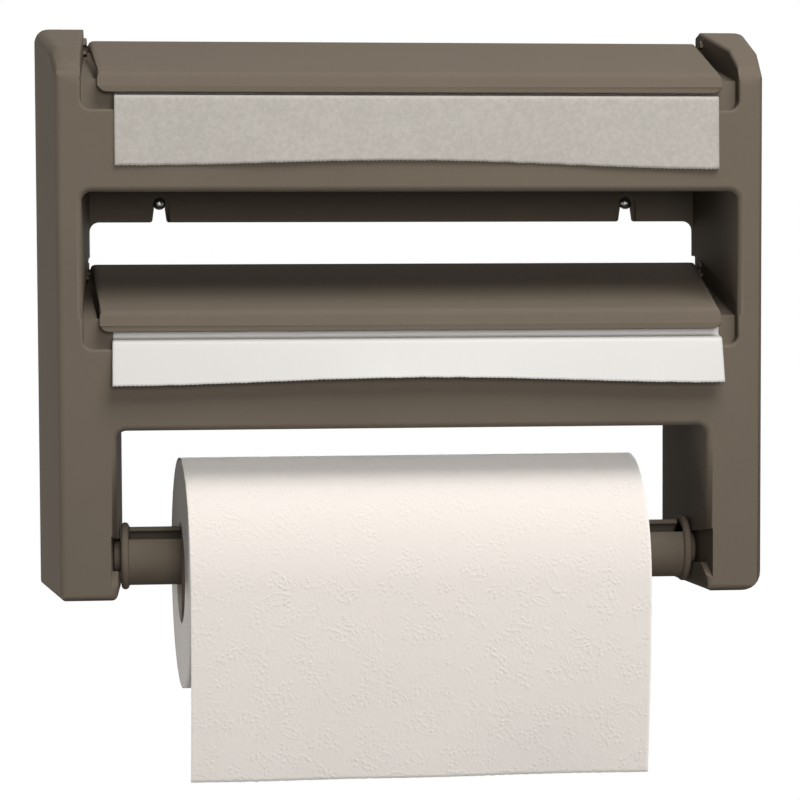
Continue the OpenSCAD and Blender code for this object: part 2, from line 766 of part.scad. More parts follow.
module parchment_core() trough_core(top_hinge, parchment_d);
module parchment_roll() trough_roll(top_hinge, parchment_d, parchment_white);
module parchment_tail()
    trough_tail(top_hinge, parchment_d, parchment_drop, parchment_flare, parchment_white);
module wrap_core() trough_core(middle_hinge, wrap_d);
module wrap_roll() trough_roll(middle_hinge, wrap_d, wrap_white);
module wrap_tail()
    trough_tail(middle_hinge, wrap_d, wrap_drop, wrap_flare, wrap_white);

// Towel rod and roll

// Disc with a full round rim
module round_disc(r, t) {
    cylinder(r = r - t / 2, h = t);
    translate([0, 0, t / 2]) rotate_extrude() translate([r - t / 2, 0]) circle(t / 2);
}

// Moulded channel, open along its upper side, with a flange and a stub at each end
module towel_rod() {
    inner = rod_r - rod_t;
    flange_x = lower_half - flange_gap;
    mouth = [for (a = [rim_front:(rim_rear - rim_front) / 4:rim_rear]) 2 * rod_r * [cos(a), sin(a)]];
    color(taupe) translate([0, -rod_d, rod_z]) {
        difference() {
            tube(rod_r, inner, 2 * flange_x - flange_t);
            across(-flange_x + flange_t, flange_x - flange_t) polygon(concat([[0, 0]], mouth));
        }
        both_sides() {
            translate([flange_x - flange_t, 0, 0]) rotate([0, 90, 0]) round_disc(flange_r, flange_t);
            translate([flange_x - past, 0, 0]) rotate([0, 90, 0])
                cylinder(r = stub_r, h = flange_gap + stub_in + past);
        }
    }
}

module towel_core() {
    color(card) translate([0, -towel_axis[0], towel_axis[1]])
        tube(towel_bore / 2 + towel_core_t, towel_bore / 2, towel_w);
}

module towel_roll() {
    color(towel_white) translate([0, -towel_axis[0], towel_axis[1]])
        tube(towel_r, towel_bore / 2 + towel_core_t + wound_gap, towel_w);
}

// Last turn of towel: over the top of the roll, down its front and hanging free
module towel_tail() {
    steps = 8;
    wrap = [for (i = [2 * steps:-1:0]) let (a = lap_angle * i / (2 * steps)) tail_r * [cos(a), sin(a)]];
    hang = [for (i = [1:steps]) let (t = i / steps) [tail_r - towel_curl * t * t, -towel_hang * t]];
    color(towel_white) translate([0, -towel_axis[0], towel_axis[1]])
        across(-towel_w / 2, towel_w / 2) polygon(thick(concat(wrap, hang), towel_t));
}

// Two round-headed screws with their shanks in the wall
module wall_screws() {
    crown_r = (head_r * head_r + head_h * head_h) / (2 * head_h);
    neck_l = pocket_floor + wound_gap;
    color(steel) both_sides() translate([screw_pitch / 2, 0, 0]) rotate([90, 0, 0]) {
        translate([0, 0, -screw_l]) cylinder(r = screw_r, h = screw_l + neck_l);
        cylinder(r = neck_r, h = neck_l + head_h / 2);
        translate([0, 0, neck_l]) intersection() {
            cylinder(r = head_r, h = head_h);
            translate([0, 0, head_h - crown_r]) sphere(crown_r);
        }
    }
}

main_frame();
top_lid();
middle_lid();
top_tear_strip();
middle_tear_strip();
wall_screws();
parchment_core();
parchment_roll();
parchment_tail();
wrap_core();
wrap_roll();
wrap_tail();
towel_rod();
towel_core();
towel_roll();
towel_tail();
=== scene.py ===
"""Looks of a wall-hung dispenser: moulded frame and lids, three rolls of paper, and its stage.

Sizes are in metres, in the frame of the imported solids: the wall is the plane y = 0, the front faces -Y
and +Z is up. Side routes are written as (depth from the wall, height).
"""

import json
import math

import bmesh
import bpy
from bpy.props import FloatProperty, FloatVectorProperty, PointerProperty
from bpy.types import Operator, Panel, PropertyGroup
from mathutils import Matrix, Vector, noise


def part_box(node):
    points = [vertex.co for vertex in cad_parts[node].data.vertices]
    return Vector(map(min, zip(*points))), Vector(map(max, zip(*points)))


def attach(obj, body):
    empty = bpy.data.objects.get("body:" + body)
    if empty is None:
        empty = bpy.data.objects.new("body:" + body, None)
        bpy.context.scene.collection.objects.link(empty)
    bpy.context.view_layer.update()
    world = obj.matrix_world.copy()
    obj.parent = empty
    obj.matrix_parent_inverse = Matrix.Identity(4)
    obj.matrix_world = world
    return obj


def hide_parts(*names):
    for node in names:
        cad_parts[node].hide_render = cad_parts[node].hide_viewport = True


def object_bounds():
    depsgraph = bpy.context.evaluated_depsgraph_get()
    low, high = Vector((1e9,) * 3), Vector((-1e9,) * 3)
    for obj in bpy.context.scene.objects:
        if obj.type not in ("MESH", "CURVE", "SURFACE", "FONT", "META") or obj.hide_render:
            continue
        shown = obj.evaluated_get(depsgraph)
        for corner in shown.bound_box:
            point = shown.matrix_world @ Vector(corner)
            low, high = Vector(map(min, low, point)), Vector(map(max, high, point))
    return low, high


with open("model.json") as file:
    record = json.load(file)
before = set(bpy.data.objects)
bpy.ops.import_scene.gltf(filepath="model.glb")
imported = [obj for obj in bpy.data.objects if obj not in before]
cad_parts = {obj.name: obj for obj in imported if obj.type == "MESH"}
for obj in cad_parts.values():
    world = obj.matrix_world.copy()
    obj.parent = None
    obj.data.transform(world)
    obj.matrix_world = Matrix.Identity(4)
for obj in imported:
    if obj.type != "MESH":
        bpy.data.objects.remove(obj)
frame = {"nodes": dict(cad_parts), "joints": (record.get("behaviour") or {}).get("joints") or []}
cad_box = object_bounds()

bl_info = {
    "name": "Wall dispenser for kitchen paper",
    "version": (1, 0, 0),
    "blender": (4, 5, 0),
    "location": "View3D > Sidebar > Dispenser",
    "description": "Dresses a wall dispenser's mouldings, papers and screws, and sets its stage",
    "category": "Object",
}

MM = 0.001
WELD = 2e-6
TINY = 0.2 * MM
FLAT_ANGLE = math.radians(0.3)
SHARP_ANGLE = math.radians(32)
SMOOTH_ANGLE = math.radians(38)
SQUARE_ANGLE = math.radians(80)
ROLL_STEPS = 96
SCREW_STEPS = 40
THREAD_STEPS = 24
SHEET_COLUMNS = 280
TOWEL_COLUMNS = 150
LAP_STEPS = 160
HANG_STEPS = 60
JOINTS = {joint["name"]: joint for joint in frame["joints"]}


def screen_colour(red, green, blue):
    """Linear colour of an 8-bit screen colour."""
    shares = [c / 255 for c in (red, green, blue)]
    return tuple(s / 12.92 if s <= 0.04045 else ((s + 0.055) / 1.055) ** 2.4 for s in shares)


def length(name, description, default):
    return FloatProperty(name=name, description=description, default=default, min=0.0, unit="LENGTH",
                         precision=5)


def angle(name, description, degrees):
    return FloatProperty(name=name, description=description, default=math.radians(degrees),
                         subtype="ANGLE")


def colour(name, description, red, green, blue):
    return FloatVectorProperty(name=name, description=description, size=3, min=0.0, max=1.0,
                               subtype="COLOR", default=screen_colour(red, green, blue))


def joint_at(name):
    """Depth and height of a joint's axis."""
    y, z = JOINTS[name]["pos_m"][1:]
    return Vector((-y, z))


# Settings


class MouldingSettings(PropertyGroup):
    """Finish of the moulded pieces."""
    plastic: colour("Plastic", "Colour of the moulded plastic", 112, 102, 90)
    frame_edge: length("Frame edges", "Rounding of the frame's sharp edges", 0.5 * MM)
    cheek_edge: length("Cheek edges", "Rounding of the cheeks' level inner edges", 3.0 * MM)
    lid_edge: length("Lid edges", "Rounding of the lids' sharp edges", 0.5 * MM)
    rod_edge: length("Rod edges", "Rounding of the rod's sharp edges", 0.5 * MM)


class PaperSettings(PropertyGroup):
    """Sheets that hang out of the troughs."""
    parchment: colour("Parchment", "Colour of the baking parchment", 185, 179, 172)
    parchment_shade: colour("Parchment clouds", "Darker colour in the parchment", 173, 167, 159)
    wrap: colour("Wrap", "Colour of the smooth wrap", 214, 211, 207)
    board: colour("Board", "Colour of the cardboard cores", 106, 95, 84)
    parchment_width: length("Parchment width", "Width of the parchment", 300.6 * MM)
    wrap_width: length("Wrap width", "Width of the wrap", 304.5 * MM)
    shift: length("Sideways shift", "How far both sheets lie to the right", 3.0 * MM)
    parchment_fold: length("Parchment fold", "Height of its fold below the lip", 1.8 * MM)
    wrap_fold: length("Wrap fold", "Height of its fold below the lip", 4.6 * MM)
    parchment_tilt: length("Parchment tilt", "How much lower its torn edge is on the right", 2.0 * MM)
    wrap_tilt: length("Wrap tilt", "How much lower its torn edge is on the right", 0.5 * MM)
    thickness: length("Sheet thickness", "Thickness of a sheet", 0.25 * MM)
    ledge_drop: length("Ledge drop", "Trough's front edge below the hinge", 22.7 * MM)
    clearance: length("Clearance", "Distance of a sheet from what it passes", 0.45 * MM)
    wave: length("Wave", "Height of the waves along a free edge", 0.7 * MM)
    torn_rise: length("Torn edge", "Rise of a torn edge between its ends and its middle", 3.4 * MM)
    tooth: length("Torn teeth", "Depth of the teeth that the tear strip leaves in the edge", 0.45 * MM)


class TowelSettings(PropertyGroup):
    """Towel roll and its hanging end."""
    towel: colour("Towel", "Colour of the towel", 246, 240, 234)
    thickness: length("Towel thickness", "Thickness of the towel", 0.5 * MM)
    curl: length("Curl", "How far the hanging end curls back", 10 * MM)
    left_over: length("Left overhang", "How far the roll's left end stands beyond its core", 0.4 * MM)
    right_over: length("Right overhang", "How far the roll's right end stands beyond its core", 1.2 * MM)
    slant: FloatProperty(name="Slant", description="Slope of the roll's left end, from wall to front",
                         default=0.081)
    lap: angle("Lap", "Angle of the last turn on the roll", 345)
    dot_pitch: length("Dot pitch", "Distance between embossed dots", 2.6 * MM)
    leaf_pitch: length("Leaf pitch", "Distance between embossed sprigs", 34 * MM)


class MetalSettings(PropertyGroup):
    """Screws and tear strips."""
    screw: colour("Screw", "Colour of the wall screws", 168, 166, 162)
    strip: colour("Strip", "Colour of the tear strips", 196, 195, 192)
    thread_pitch: length("Thread pitch", "Pitch of the screws' thread", 1.8 * MM)
    recess: length("Recess", "Width of the cross recess", 0.9 * MM)


class StageSettings(PropertyGroup):
    """Camera, light and floor."""
    camera_at: FloatVectorProperty(name="Camera", description="Place of the camera", size=3,
                                   subtype="TRANSLATION", unit="LENGTH", precision=5,
                                   default=(-0.1185, -1.284, -0.0379))
    yaw: angle("Yaw", "Turn of the camera to the right", 5.40)
    pitch: angle("Pitch", "Tilt of the camera upwards", -3.05)
    roll: angle("Roll", "Roll of the camera", -0.235)
    lens: FloatProperty(name="Lens", description="Focal length on a 36 mm sensor", default=106.78, min=1.0)
    floor_drop: length("Floor drop", "Distance of the floor below the object", 350 * MM)
    key: FloatProperty(name="Key", description="Power of the softbox above", default=25.0, min=0.0,
                       unit="POWER")
    fill: FloatProperty(name="Fill", description="Power of the light in front", default=17.0, min=0.0,
                        unit="POWER")
    side: FloatProperty(name="Side", description="Power of the reflector on the left", default=6.0, min=0.0,
                        unit="POWER")
    back: FloatProperty(name="Back", description="Power of the light behind", default=8.0, min=0.0,
                        unit="POWER")
    ambient: FloatProperty(name="Ambient", description="Light from all round", default=0.012, min=0.0)


# Shader maths


class Signal:
    """A socket of a node tree, so that shader maths reads as an expression."""

    def __init__(self, shades, socket):
        self.shades = shades
        self.socket = socket

    def maths(self, operation, *values):
        return self.shades.maths(operation, *values)

    def __add__(self, other):
        return self.maths("ADD", self, other)

    def __sub__(self, other):
        return self.maths("SUBTRACT", self, other)

    def __mul__(self, other):
        return self.maths("MULTIPLY", self, other)

    def __truediv__(self, other):
        return self.maths("DIVIDE", self, other)

    def __rsub__(self, other):
        return self.maths("SUBTRACT", other, self)

    def __abs__(self):
        return self.maths("ABSOLUTE", self)

    __radd__ = __add__
    __rmul__ = __mul__


class Shades:
    """The node tree of a material or of the surroundings."""

    def __init__(self, owner):
        owner.use_nodes = True
        self.tree = owner.node_tree
        self.tree.nodes.clear()

    def node(self, kind, settings, sockets):
        """A node with its settings made first, then its sockets' values or links."""
        made = self.tree.nodes.new(kind)
        for name, value in settings.items():
            setattr(made, name, value)
        for name, value in sockets.items():
            self.plug(value, self.find(made.inputs, name))
        return made

    def find(self, sockets, name):
        if isinstance(name, int):
            return sockets[name]
        return next(s for s in sockets if s.enabled and s.name == name)

    def plug(self, value, socket):
        if isinstance(value, Signal):
            self.tree.links.new(value.socket, socket)
        elif socket.type == "RGBA":
            socket.default_value = (*value, 1.0)
        else:
            socket.default_value = value

    def signal(self, node, output):
        return Signal(self, self.find(node.outputs, output))

    def maths(self, operation, *values):
        node = self.node("ShaderNodeMath", {"operation": operation}, dict(enumerate(values)))
        return self.signal(node, "Value")

    def largest(self, *values):
        total = values[0]
        for value in values[1:]:
            total = self.maths("MAXIMUM", total, value)
        return total

    def place(self, kind="Object", centre=(0, 0, 0), scale=(1, 1, 1)):
        """Coordinates on the piece, seen from a centre."""
        source = self.node("ShaderNodeTexCoord", {}, {})
        moved = self.node("ShaderNodeMapping", {"vector_type": "TEXTURE"},
                          {"Vector": self.signal(source, kind), "Location": centre})
        if tuple(scale) == (1, 1, 1):
            return self.signal(moved, "Vector")
        sized = self.node("ShaderNodeVectorMath", {"operation": "MULTIPLY"},
                          {0: self.signal(moved, "Vector"), 1: scale})
        return self.signal(sized, "Vector")

    def parts(self, vector):
        split = self.node("ShaderNodeSeparateXYZ", {}, {"Vector": vector})
        return [self.signal(split, axis) for axis in "XYZ"]

    def joined(self, x, y, z):
        return self.signal(self.node("ShaderNodeCombineXYZ", {}, {"X": x, "Y": y, "Z": z}), "Vector")

    def clouds(self, vector, size, detail=2.0, rough=0.5):
        made = self.node("ShaderNodeTexNoise", {},
                         {"Vector": vector, "Scale": 1 / size, "Detail": detail, "Roughness": rough})
        return self.signal(made, "Fac")

    def cells(self, vector, size):
        made = self.node("ShaderNodeTexVoronoi", {"voronoi_dimensions": "2D"},
                         {"Vector": vector, "Scale": 1 / size, "Randomness": 1.0})
        return self.signal(made, "Distance")

    def chance(self, x, y):
        """Random share of a cell that is told by two whole numbers."""
        made = self.node("ShaderNodeTexWhiteNoise", {"noise_dimensions": "2D"},
                         {"Vector": self.joined(x, y, 0.0)})
        return self.signal(made, "Value")

    def ramp(self, value, low, high, to_low=0.0, to_high=1.0):
        """Smooth step of a value from low to high."""
        made = self.node("ShaderNodeMapRange", {"interpolation_type": "SMOOTHSTEP"},
                         {"Value": value, "From Min": low, "From Max": high, "To Min": to_low,
                          "To Max": to_high})
        return self.signal(made, "Result")

    def mix(self, share, first, second):
        made = self.node("ShaderNodeMix", {"data_type": "RGBA"},
                         {"Factor": share, "A": first, "B": second})
        return self.signal(made, "Result")

    def seen_directly(self):
        """Share that is 1 for rays from the camera, off gloss or through glass."""
        path = self.node("ShaderNodeLightPath", {}, {})
        return self.largest(*[self.signal(path, ray)
                              for ray in ("Is Camera Ray", "Is Glossy Ray", "Is Transmission Ray")])


class Finish(Shades):
    """A procedural material with one principled shader."""

    def __init__(self, name, **constants):
        self.material = bpy.data.materials.new(name)
        super().__init__(self.material)
        self.shader = self.node("ShaderNodeBsdfPrincipled", {}, constants)
        self.output = self.node("ShaderNodeOutputMaterial", {}, {"Surface": self.signal(self.shader, "BSDF")})

    def set(self, **sockets):
        """Feeds varying values into the shader."""
        for name, value in sockets.items():
            self.plug(value, self.shader.inputs[name.replace("_", " ")])

    def relief(self, height, depth, strength=1.0):
        made = self.node("ShaderNodeBump", {}, {"Height": height, "Distance": depth, "Strength": strength})
        self.set(Normal=self.signal(made, "Normal"))


def darker(tint, share):
    return tuple(c * share for c in tint)


# Finishes


def moulded_plastic(settings):
    """Satin moulded plastic with a fine spark-eroded grain."""
    finish = Finish("moulded_taupe", **{"Specular IOR Level": 0.01})
    at = finish.place()
    cloud = finish.clouds(at, 45 * MM, 3.0)
    grain = finish.clouds(at, 0.55 * MM, 2.0, 0.6)
    fleck = finish.clouds(at, 2.2 * MM, 2.0)
    tone = cloud * 0.6 + fleck * 0.25 + grain * 0.15
    finish.set(
        Base_Color=finish.mix(tone, darker(settings.plastic, 0.90), darker(settings.plastic, 1.10)),
        Roughness=0.52 + cloud * 0.08 + grain * 0.10)
    finish.relief(grain * 0.7 + fleck * 0.3, 0.05 * MM, 0.45)
    return finish.material


def parchment_paper(settings):
    """Greaseproof paper with cloudy fibres."""
    finish = Finish("baking_parchment", **{"Specular IOR Level": 0.3})
    at = finish.place()
    cloud = finish.clouds(at, 2.4 * MM, 4.0, 0.7)
    wide = finish.clouds(at, 16 * MM, 3.0)
    fibre = finish.clouds(finish.place(scale=(1, 1, 0.35)), 0.7 * MM, 2.0)
    tone = finish.ramp(cloud * 0.70 + wide * 0.18 + fibre * 0.12, 0.38, 0.64)
    finish.set(
        Base_Color=finish.mix(tone, tuple(settings.parchment_shade), tuple(settings.parchment)),
        Roughness=0.52 + fibre * 0.16)
    finish.relief(cloud * 0.5 + fibre * 0.5, 0.06 * MM, 0.5)
    return finish.material


def smooth_wrap(settings):
    """Smooth white wrap with faint streaks along its length."""
    finish = Finish("smooth_wrap", **{"Specular IOR Level": 0.4})
    streak = finish.clouds(finish.place(scale=(1, 0.2, 0.2)), 5 * MM, 2.0)
    fibre = finish.clouds(finish.place(), 0.6 * MM, 2.0)
    cloud = finish.clouds(finish.place(), 35 * MM, 2.0)
    tone = streak * 0.4 + fibre * 0.2 + cloud * 0.4
    finish.set(
        Base_Color=finish.mix(tone, darker(settings.wrap, 0.955), tuple(settings.wrap)),
        Roughness=0.36 + streak * 0.10 + fibre * 0.06)
    finish.relief(streak * 0.5 + fibre * 0.5, 0.05 * MM, 0.3)
    return finish.material


def leaf(finish, x, y, centre, turn, long, half):
    """Outline and rib of one leaf, as a height from 0 to 1, in a cell's own coordinates."""
    c, s = math.cos(turn), math.sin(turn)
    along = (x - centre[0]) * c + (y - centre[1]) * s
    aside = abs((y - centre[1]) * c - (x - centre[0]) * s)
    share = along / long
    rim = half * (1 - share * share)
    line = 0.7 * MM
    outline = finish.ramp(abs(aside - rim), line, 0.0)
    rib = finish.ramp(aside, line * 0.8, 0.0) * 0.6
    return finish.largest(outline, rib) * finish.ramp(abs(share), 1.08, 0.86)


def sprigs(finish, u, v, pitch):
    """Loose sprigs of leaves in shifted rows, each one turned and pressed differently."""
    row = finish.maths("FLOOR", v / pitch)
    across = u / pitch + row * 0.37
    chance = finish.chance(finish.maths("FLOOR", across), row)
    turn = chance * math.tau
    c, s = finish.maths("COSINE", turn), finish.maths("SINE", turn)
    x = (finish.maths("FRACT", across) - 0.5) * pitch
    y = (finish.maths("FRACT", v / pitch) - 0.5) * pitch
    x, y = x * c + y * s, y * c - x * s
    leaves = finish.largest(
        leaf(finish, x, y, (-0.12 * pitch, 0.10 * pitch), math.radians(62), 0.24 * pitch, 0.085 * pitch),
        leaf(finish, x, y, (0.15 * pitch, 0.02 * pitch), math.radians(118), 0.19 * pitch, 0.070 * pitch),
        leaf(finish, x, y, (0.02 * pitch, -0.24 * pitch), math.radians(18), 0.17 * pitch, 0.060 * pitch))
    return leaves * finish.ramp(finish.maths("FRACT", chance * 7.3), 0.0, 1.0, 0.25, 1.0)


def embossed_towel(settings):
    """Soft towel with pressed grains and faint sprigs, laid out on the piece's own map."""
    finish = Finish("embossed_towel", **{
        "Specular IOR Level": 0.05, "Roughness": 0.92, "Diffuse Roughness": 1.0, "Sheen Weight": 0.5,
        "Sheen Roughness": 0.6})
    at = finish.place("UV")
    u, v = finish.parts(at)[:2]
    patch = finish.clouds(at, 11 * MM, 2.0)
    bent = finish.joined(u + finish.clouds(at, 5 * MM) * (2 * MM), v + patch * (4 * MM), 0.0)
    grains = finish.ramp(finish.cells(bent, settings.dot_pitch), 0.45, 0.08)
    fibre = finish.clouds(at, 0.9 * MM, 3.0, 0.6)
    puff = finish.clouds(at, 6 * MM, 2.0)
    pressed = grains * finish.ramp(patch, 0.42, 0.62, 0.10, 0.75)
    drawn = sprigs(finish, u, v, settings.leaf_pitch) * 0.45
    finish.set(Base_Color=finish.mix(fibre * 0.6 + puff * 0.4, darker(settings.towel, 0.95),
                                     tuple(settings.towel)))
    finish.relief(pressed + drawn + fibre * 0.35 + puff * 0.5, 0.35 * MM, 0.8)
    return finish.material


def wound_paper(name, tint, centre, layer):
    """Roll of paper whose ends show the spiral of its turns."""
    finish = Finish(name, **{"Specular IOR Level": 0.1, "Diffuse Roughness": 1.0})
    at = finish.place(centre=(0, -centre[0], centre[1]))
    y, z = finish.parts(at)[1:]
    radius = finish.maths("POWER", y * y + z * z, 0.5)
    turn = finish.maths("ARCTAN2", z, y) / math.tau
    spiral = finish.maths("FRACT", radius / layer + turn)
    gap = finish.ramp(abs(spiral - 0.5), 0.22, 0.5)
    fibre = finish.clouds(at, 0.8 * MM, 2.0)
    cloud = finish.clouds(at, 9 * MM, 2.0)
    tone = gap * 0.5 + fibre * 0.25 + cloud * 0.25
    finish.set(Base_Color=finish.mix(tone, tuple(tint), darker(tint, 0.88)),
               Roughness=0.75 + fibre * 0.15)
    finish.relief(fibre * 0.5 - gap * 0.5, 0.12 * MM, 0.5)
    return finish.material


def core_board(settings, name, centre):
    """Spirally wound cardboard with a seam and short fibres."""
    finish = Finish(name, **{"Specular IOR Level": 0.2})
    at = finish.place(centre=(0, -centre[0], centre[1]))
    x, y, z = finish.parts(at)
    turn = finish.maths("ARCTAN2", z, y) / math.tau
    seam = finish.ramp(abs(finish.maths("FRACT", x / (42 * MM) + turn) - 0.5), 0.485, 0.497)
    fibre = finish.clouds(finish.place(scale=(0.3, 1, 1)), 0.9 * MM, 3.0, 0.65)
    cloud = finish.clouds(at, 14 * MM, 2.0)
    tone = fibre * 0.6 + cloud * 0.4
    board = finish.mix(tone, darker(settings.board, 0.80), darker(settings.board, 1.12))
    finish.set(Base_Color=finish.mix(seam, board, darker(settings.board, 0.45)),
               Roughness=0.82 + fibre * 0.12)
    finish.relief(fibre - seam, 0.10 * MM, 0.5)
    return finish.material


def brushed_metal(name, tint, streak_scale, rough):
    """Metal with fine drawn lines and a few dull patches."""
    finish = Finish(name, Metallic=1.0)
    streak = finish.clouds(finish.place(scale=streak_scale), 0.5 * MM, 3.0, 0.7)
    patch = finish.clouds(finish.place(), 3.5 * MM, 2.0)
    finish.set(Base_Color=finish.mix(streak * 0.6 + patch * 0.4, darker(tint, 0.82), tuple(tint)),
               Roughness=rough + streak * 0.12 + patch * 0.08)
    finish.relief(streak, 0.02 * MM, 0.4)
    return finish.material


# Mesh helpers


def finished_piece(name, bm, body, material, replaced=()):
    """Makes an object of a bmesh, and lets it ride on its body in place of CAD nodes."""
    mesh = bpy.data.meshes.new(name)
    bm.to_mesh(mesh)
    bm.free()
    mesh.materials.append(material)
    for polygon in mesh.polygons:
        polygon.use_smooth = True
    mesh.set_sharp_from_angle(angle=SMOOTH_ANGLE)
    piece = bpy.data.objects.new(name, mesh)
    bpy.context.scene.collection.objects.link(piece)
    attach(piece, body)
    if replaced:
        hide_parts(*replaced)
    return piece


def dress_node(node, material):
    """Gives a CAD node that keeps its shape a better finish."""
    piece = frame["nodes"][node]
    piece.data.materials.clear()
    piece.data.materials.append(material)


def even_normals(piece):
    """Lets broad faces keep their own direction beside narrow rounded ones."""
    modifier = piece.modifiers.new("even_normals", "WEIGHTED_NORMAL")
    modifier.mode = "FACE_AREA"
    modifier.keep_sharp = True


def bevel(bm, edges, offset, segments):
    bmesh.ops.bevel(bm, geom=edges, offset=offset, offset_type="OFFSET", segments=segments, profile=0.5,
                    affect="EDGES", clamp_overlap=False, material=-1)


def moulded_mesh(node):
    """Mesh of a moulded node, with its flat faces whole."""
    bm = bmesh.new()
    bm.from_mesh(frame["nodes"][node].data)
    bmesh.ops.remove_doubles(bm, verts=bm.verts, dist=WELD)
    bmesh.ops.dissolve_limit(bm, angle_limit=FLAT_ANGLE, verts=bm.verts, edges=bm.edges)
    return bm


def moulded_piece(bm, node, name, body, edge, material):
    """Replaces a moulded node by its mesh with the sharp edges rounded."""
    tight = {v for e in bm.edges if e.calc_length() < TINY for v in e.verts}
    sharp = [e for e in bm.edges if e.is_manifold and e.calc_face_angle() > SHARP_ANGLE
             and e.calc_length() > 2 * edge and tight.isdisjoint(e.verts)]
    bevel(bm, sharp, edge, 2)
    even_normals(finished_piece(name, bm, body, material, [node]))


def chain(bm, points, closed=False):
    """Line of vertices and edges through points."""
    verts = [bm.verts.new(p) for p in points]
    ends = verts[1:] + verts[:1] if closed else verts[1:]
    edges = [bm.edges.new(pair) for pair in zip(verts, ends)]
    return verts + edges


def turned(bm, profile, axis_at, axis, steps):
    """Closed solid of revolution from a line of points."""
    geom = chain(bm, profile)
    bmesh.ops.spin(bm, geom=geom, cent=axis_at, axis=axis, angle=math.tau, steps=steps, use_merge=True,
                   dvec=(0, 0, 0))
    bmesh.ops.remove_doubles(bm, verts=bm.verts, dist=WELD)
    bmesh.ops.recalc_face_normals(bm, faces=bm.faces)


def wound_roll(node, name, body, axis_at, layer, material):
    """Paper roll with its turns standing slightly proud at the ends."""
    low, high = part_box(node)
    outer = (high.z - low.z) / 2
    inner = ring_bore(node, axis_at)
    half = high.x
    soft = 0.8 * MM
    proud = 0.16 * MM
    turns = int((outer - soft - inner) / layer)
    end = []
    for i in range(2 * turns + 1):
        end.append((half - (proud if i % 2 else 0.0), inner + i * layer / 2))
    end.append((half - soft * 0.4, outer - soft * 0.3))
    end.append((half - soft, outer))
    profile = [(-x, r) for x, r in end] + [(x, r) for x, r in reversed(end)] + [(-end[0][0], end[0][1])]
    bm = bmesh.new()
    depth, height = axis_at
    turned(bm, [(x, -depth, height + r) for x, r in profile], (0, -depth, height), (1, 0, 0),
           ROLL_STEPS)
    return finished_piece(name, bm, body, material, [node])


def ring_bore(node, axis_at):
    """Least distance of a ring's vertices from its axis."""
    depth, height = axis_at
    return min(math.hypot(v.co.y + depth, v.co.z - height) for v in frame["nodes"][node].data.vertices)


def rounded_route(corners, bend, step):
    """Points along a line with its corners rounded and its straights divided."""
    points = [Vector(corners[0])]
    for before, corner, after in zip(corners, corners[1:], corners[2:]):
        here = Vector(corner)
        back, on = Vector(before) - here, Vector(after) - here
        reach = min(bend, back.length * 0.45, on.length * 0.45)
        start, end = here + back.normalized() * reach, here + on.normalized() * reach
        points += [start.lerp(here, t).lerp(here.lerp(end, t), t) for t in (0, 0.2, 0.4, 0.6, 0.8, 1)]
    points.append(Vector(corners[-1]))
    divided = [points[0]]
    for a, b in zip(points, points[1:]):
        count = max(1, round((b - a).length / step))
        divided += [a.lerp(b, (i + 1) / count) for i in range(count)]
    return divided


def route_lengths(route):
    total, lengths = 0.0, [0.0]
    for a, b in zip(route, route[1:]):
        total += (b - a).length
        lengths.append(total)
    return lengths


def swept_sheet(route, low_x, high_x, columns):
    """Grid of faces along a side route, with its map in metres across and along the sheet."""
    bm = bmesh.new()
    along = bm.verts.layers.float.new("along")
    lengths = route_lengths(route)
    geom = chain(bm, [(low_x, -p.x, p.y) for p in route])
    for vert, run in zip(bm.verts, lengths):
        vert[along] = run
    bmesh.ops.spin(bm, geom=geom, cent=(0, 0, 0), axis=(1, 0, 0), angle=0.0, steps=columns,
                   dvec=((high_x - low_x) / columns, 0, 0))
    map_layer = bm.loops.layers.uv.new("sheet_map")
    for face in bm.faces:
        for loop in face.loops:
            loop[map_layer].uv = (loop.vert.co.x, loop.vert[along])
    bmesh.ops.recalc_face_normals(bm, faces=bm.faces)
    return bm, along, lengths[-1]


def thicken(piece, thickness):
    modifier = piece.modifiers.new("paper_thickness", "SOLIDIFY")
    modifier.thickness = thickness
    modifier.offset = 0.0


# Pieces


def moulding_finish(context):
    found = bpy.data.materials.get("moulded_taupe_finish")
    if found is None:
        found = moulded_plastic(context.scene.dispenser_moulding)
        found.name = "moulded_taupe_finish"
    return found


class DISPENSER_OT_frame(Operator):
    """Rounds the edges of the moulded frame and gives it satin plastic"""
    bl_idname = "dispenser.frame"
    bl_label = "Moulded frame"

    def execute(self, context):
        settings = context.scene.dispenser_moulding
        bm = moulded_mesh("main_frame")
        bevel(bm, inner_top_edges(bm), settings.cheek_edge, 5)
        moulded_piece(bm, "main_frame", "moulded_frame", "frame", settings.frame_edge,
                      moulding_finish(context))
        return {"FINISHED"}


def inner_top_edges(bm):
    """Edges between the level tops of the cheeks and the bay of the top lid."""
    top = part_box("main_frame")[1].z
    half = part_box("top_lid")[1].x
    return [e for e in bm.edges if e.is_manifold and e.calc_face_angle() > SQUARE_ANGLE
            and e.calc_length() > 10 * MM and all(v.co.z > top - WELD for v in e.verts)
            and all(abs(abs(v.co.x) - half) < 3 * MM for v in e.verts)]


class DISPENSER_OT_lids(Operator):
    """Rounds the edges of both lids and gives them satin plastic"""
    bl_idname = "dispenser.lids"
    bl_label = "Lids"

    def execute(self, context):
        edge = context.scene.dispenser_moulding.lid_edge
        for node in ("top_lid", "middle_lid"):
            moulded_piece(moulded_mesh(node), node, node + "_panel", node, edge, moulding_finish(context))
        return {"FINISHED"}


class DISPENSER_OT_tear_strips(Operator):
    """Gives the toothed strips their drawn steel"""
    bl_idname = "dispenser.tear_strips"
    bl_label = "Tear strips"

    def execute(self, context):
        steel = brushed_metal("drawn_strip_steel", context.scene.dispenser_metal.strip, (0.02, 1, 1), 0.22)
        for node in ("top_tear_strip", "middle_tear_strip"):
            dress_node(node, steel)
        return {"FINISHED"}


